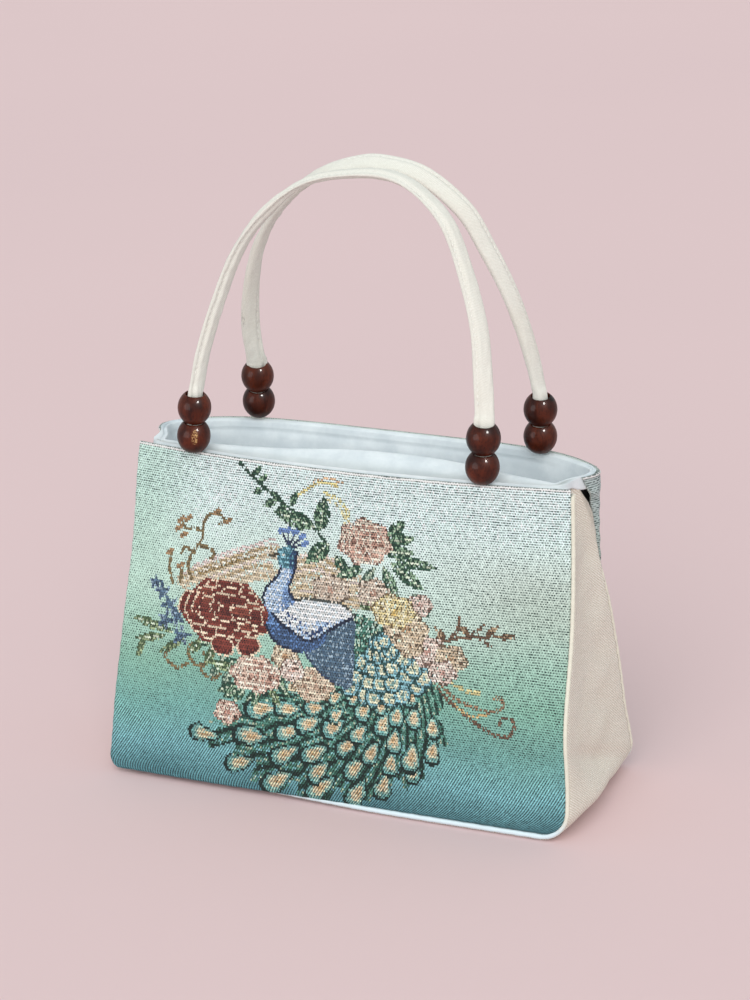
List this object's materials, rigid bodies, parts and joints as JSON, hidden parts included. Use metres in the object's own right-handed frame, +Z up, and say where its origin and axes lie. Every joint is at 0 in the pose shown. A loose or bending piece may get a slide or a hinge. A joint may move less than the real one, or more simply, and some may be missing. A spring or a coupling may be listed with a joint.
{
  "type": "fabric handbag",
  "caption": "Small structured fabric handbag with a woven picture front, canvas gusset, white lining and two strap handles strung with wood beads.",
  "frame": {"origin": "centre of the bounding box on the floor under the bag", "axes": "+X to the right across the front, +Y from the front panel to the back panel, +Z up"},
  "size_m": [0.245, 0.1008, 0.3094],
  "materials": {
    "jacquard": "woven picture, matt",
    "canvas": "fine twill, matt",
    "lining_cloth": "plain weave, matt",
    "strap_cloth": "canvas strap, matt",
    "dark_wood": "glossy lacquer"
  },
  "bodies": {
    "root": {"front_panel": "jacquard", "back_panel": "jacquard", "gusset": "canvas", "front_welt": "canvas", "back_welt": "canvas", "lining": "lining_cloth", "front_handle": "strap_cloth", "back_handle": "strap_cloth", "bead_front_left_lower": "dark_wood", "bead_front_left_upper": "dark_wood", "bead_front_right_lower": "dark_wood", "bead_front_right_upper": "dark_wood", "bead_back_left_lower": "dark_wood", "bead_back_left_upper": "dark_wood", "bead_back_right_lower": "dark_wood", "bead_back_right_upper": "dark_wood"}
  },
  "joints": []
}
